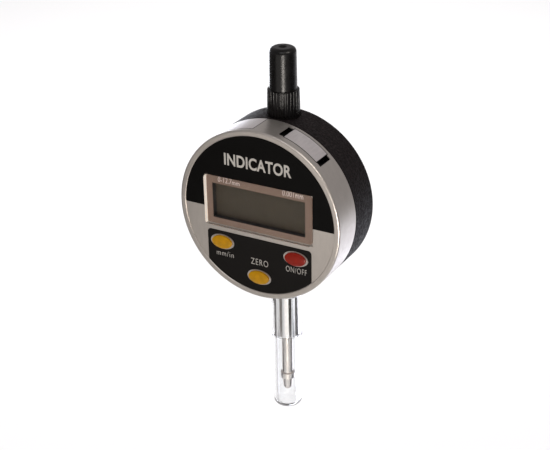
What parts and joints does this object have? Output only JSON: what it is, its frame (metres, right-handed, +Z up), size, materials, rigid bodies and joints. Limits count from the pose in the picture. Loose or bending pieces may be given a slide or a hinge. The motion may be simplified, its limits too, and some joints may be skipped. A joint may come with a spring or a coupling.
{
  "type": "dial indicator",
  "caption": "Round plunger indicator with a digital display and keypad on a swivelling face, a sprung spindle through a clamping stem, a dust cap and a clear point guard.",
  "frame": {"origin": "on the spindle axis, at the top of the stem's clamping length, under its flange", "axes": "+Z up the spindle axis, +X to the right across the face, the face looks along -Y"},
  "size_m": [0.0604, 0.0267, 0.136],
  "materials": {
    "black_crinkle": "fine crinkle powder coat",
    "satin_silver": "satin",
    "silver_plastic": "silver painted, satin",
    "black_panel": "smooth printed overlay",
    "black_plastic": "matte",
    "black_gloss": "polished",
    "clear_lens": "clear, polished",
    "clear_plastic": "clear, polished",
    "bronze_print": "printed film",
    "lcd": "matte reflective polariser",
    "yellow_button": "satin",
    "red_button": "satin",
    "chrome": "polished",
    "steel": "plain",
    "hard_steel": "ground",
    "brass": "turned",
    "alloy": "machined",
    "board": "solder mask",
    "ribbon": "film",
    "rubber": "soft"
  },
  "bodies": {
    "rear_unit": {"rear_housing": "black_crinkle", "back_cover": "black_crinkle", "back_screw_1": "steel", "back_screw_2": "steel", "back_screw_3": "steel", "back_screw_4": "steel", "swivel_retainer": "steel", "reader_board": "board", "ribbon_cable": "ribbon", "guide_rail": "brass", "return_spring": "steel", "spring_anchor": "steel", "stem": "chrome", "lower_bush": "brass", "middle_bush": "brass", "top_nipple": "brass", "stop_bumper": "rubber"},
    "display_unit": {"front_housing": "satin_silver", "swivel_plate": "alloy", "plate_screw_1": "steel", "plate_screw_2": "steel", "plate_screw_3": "steel", "plate_screw_4": "steel", "upper_label": "black_panel", "keypad_label": "black_panel", "display_lens": "clear_lens", "lens_mask": "bronze_print", "lcd_glass": "lcd", "lcd_frame": "black_plastic", "contact_strip_upper": "rubber", "contact_strip_lower": "rubber", "circuit_board": "board", "controller_chip": "black_plastic", "crystal": "steel", "dome_switch_mm_in": "steel", "dome_switch_zero": "steel", "dome_switch_on_off": "steel", "board_screw_1": "steel", "board_screw_2": "steel", "battery_contact_front": "brass", "battery_contact_rear": "brass", "port_contacts": "board"},
    "spindle_unit": {"spindle": "hard_steel", "contact_point": "hard_steel", "contact_ball": "hard_steel", "scale_carrier": "alloy", "scale_plate": "board", "guide_pin": "steel", "spring_pin": "steel", "stop_collar": "steel"},
    "button_mm_in": {"button_mm_in": "yellow_button"},
    "button_zero": {"button_zero": "yellow_button"},
    "button_on_off": {"button_on_off": "red_button"},
    "battery_drawer": {"battery_drawer": "silver_plastic", "battery_cell": "hard_steel"},
    "port_cover": {"port_cover": "silver_plastic"},
    "dust_cap": {"dust_cap": "black_gloss"},
    "guard_tube": {"guard_tube": "clear_plastic"}
  },
  "joints": [
    {"name": "display_swivel", "type": "hinge", "parent": "rear_unit", "child": "display_unit", "pos_m": [0, -0.0087, 0.031], "axis": [0, 1, 0], "range_deg": [-135, 135]},
    {"name": "spindle_slide", "type": "slide", "parent": "rear_unit", "child": "spindle_unit", "axis": [0, 0, 1], "range_m": [0, 0.0127], "stiffness_N_per_m": 40, "springref_m": -0.02, "deforming": ["return_spring"]},
    {"name": "press_mm_in", "type": "slide", "parent": "display_unit", "child": "button_mm_in", "axis": [0, 1, 0], "range_m": [0, 0.00045], "stiffness_N_per_m": 1500, "springref_m": -0.0003},
    {"name": "press_zero", "type": "slide", "parent": "display_unit", "child": "button_zero", "axis": [0, 1, 0], "range_m": [0, 0.00045], "stiffness_N_per_m": 1500, "springref_m": -0.0003},
    {"name": "press_on_off", "type": "slide", "parent": "display_unit", "child": "button_on_off", "axis": [0, 1, 0], "range_m": [0, 0.00045], "stiffness_N_per_m": 1500, "springref_m": -0.0003},
    {"name": "drawer_slide", "type": "slide", "parent": "display_unit", "child": "battery_drawer", "axis": [0.4909, 0, 0.8712], "range_m": [0, 0.016]},
    {"name": "port_cover_slide", "type": "slide", "parent": "display_unit", "child": "port_cover", "axis": [-0.309, 0, 0.9511], "range_m": [0, 0.006]},
    {"name": "cap_lift", "type": "slide", "parent": "rear_unit", "child": "dust_cap", "axis": [0, 0, 1], "range_m": [0, 0.023]},
    {"name": "guard_pull", "type": "slide", "parent": "rear_unit", "child": "guard_tube", "axis": [0, 0, -1], "range_m": [0, 0.06]}
  ]
}
